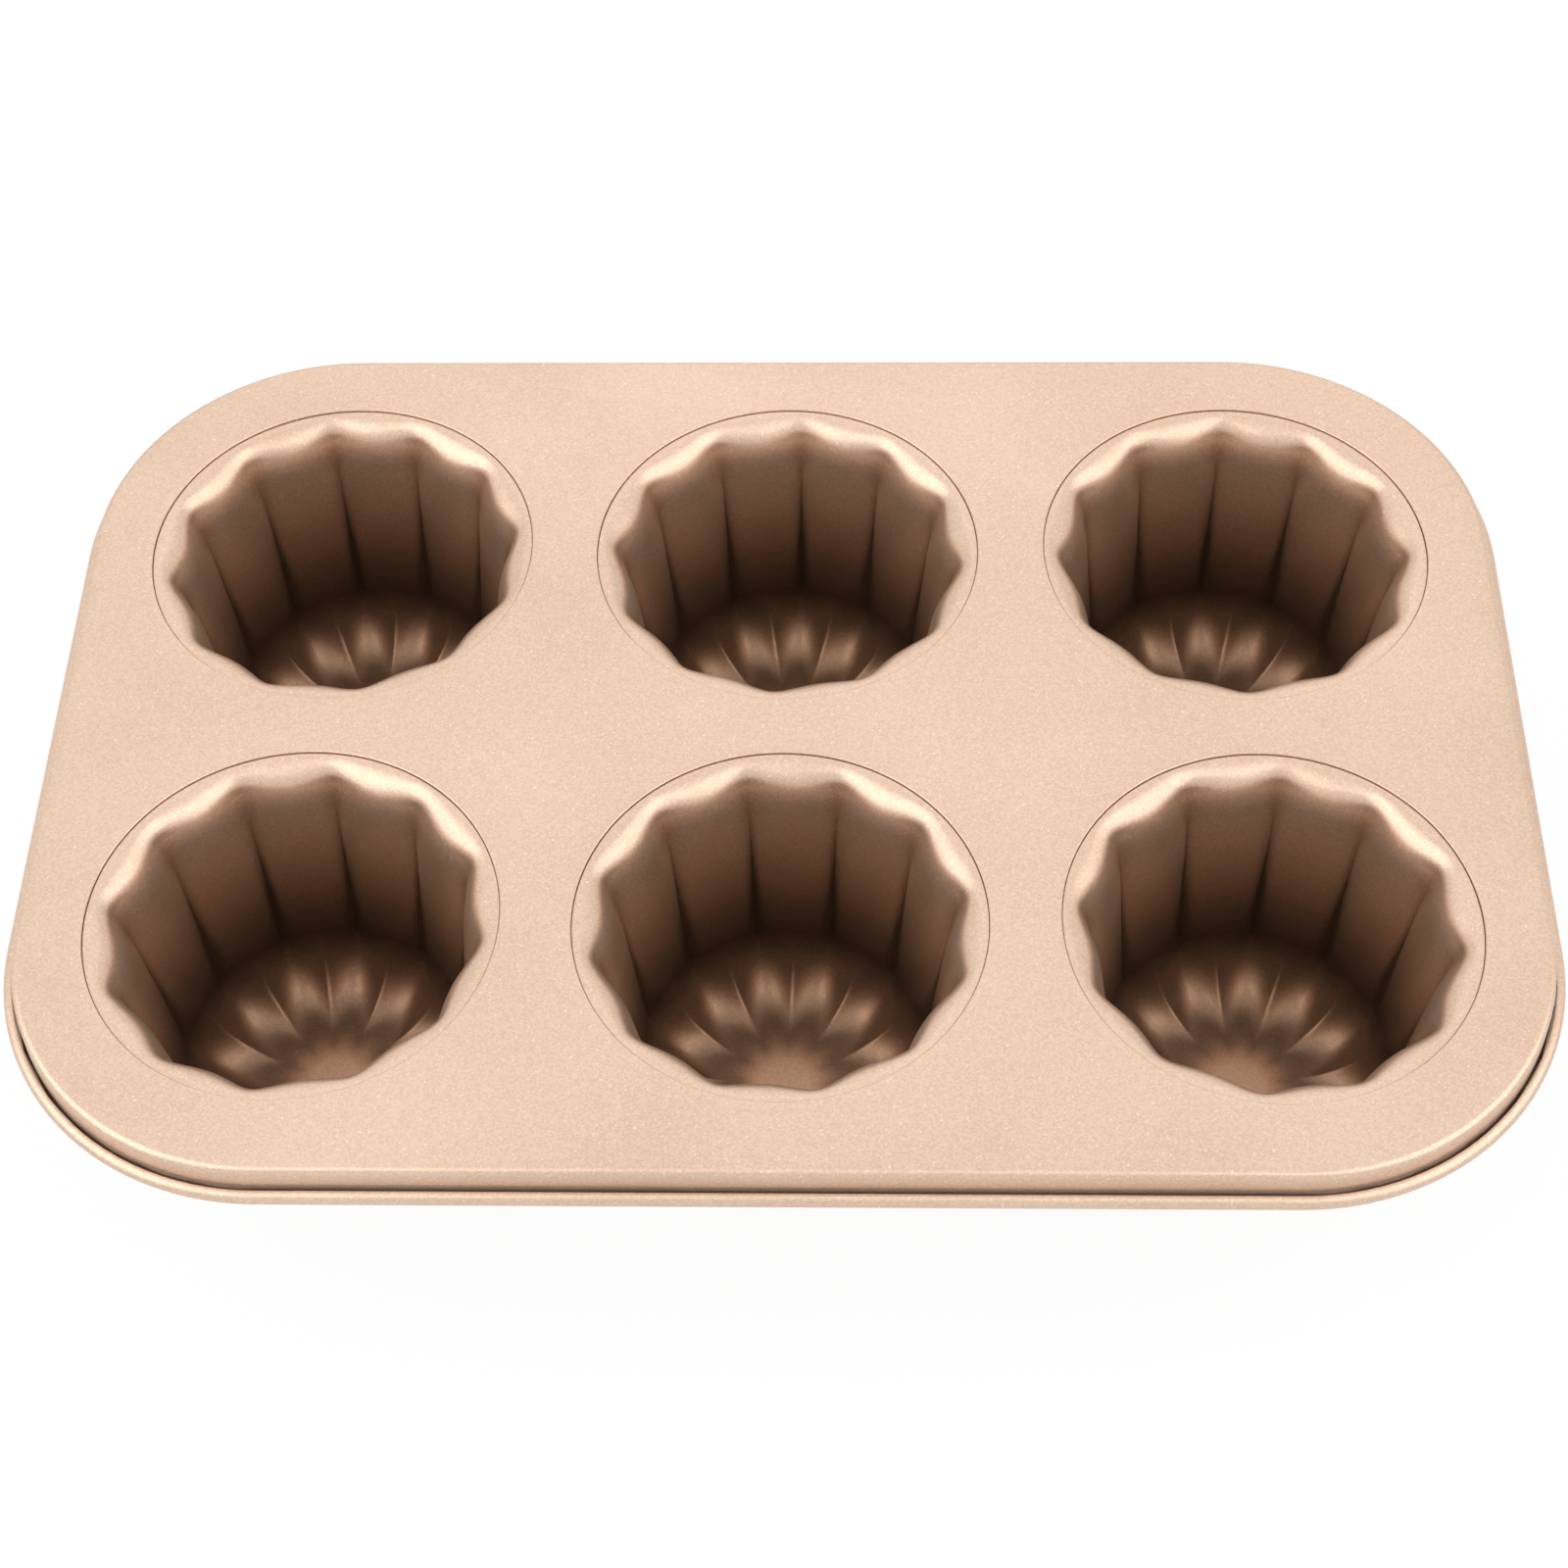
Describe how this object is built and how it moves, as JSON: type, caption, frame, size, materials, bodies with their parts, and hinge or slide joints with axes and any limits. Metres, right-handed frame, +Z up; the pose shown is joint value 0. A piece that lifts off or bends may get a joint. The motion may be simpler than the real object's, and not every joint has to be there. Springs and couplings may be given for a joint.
{
  "type": "fluted mini cake pan",
  "caption": "Shallow rectangular baking tray with round corners and a rolled rim, carrying deep round fluted cups for small cakes, champagne-gold non-stick coated steel.",
  "frame": {"origin": "under the middle of the pan, on the plane that the cup floors stand on", "axes": "+X along the long side, to the right in the picture; +Y to the back; +Z up"},
  "size_m": [0.239, 0.1674, 0.0495],
  "materials": {
    "champagne_coating": "satin champagne-gold non-stick coating with a fine metallic grain",
    "rim_wire_steel": "plain drawn steel wire, inside the rolled rim"
  },
  "bodies": {
    "root": {"tray": "champagne_coating", "rim_wire": "rim_wire_steel", "cup_back_left": "champagne_coating", "cup_back_middle": "champagne_coating", "cup_back_right": "champagne_coating", "cup_front_left": "champagne_coating", "cup_front_middle": "champagne_coating", "cup_front_right": "champagne_coating"}
  },
  "joints": []
}
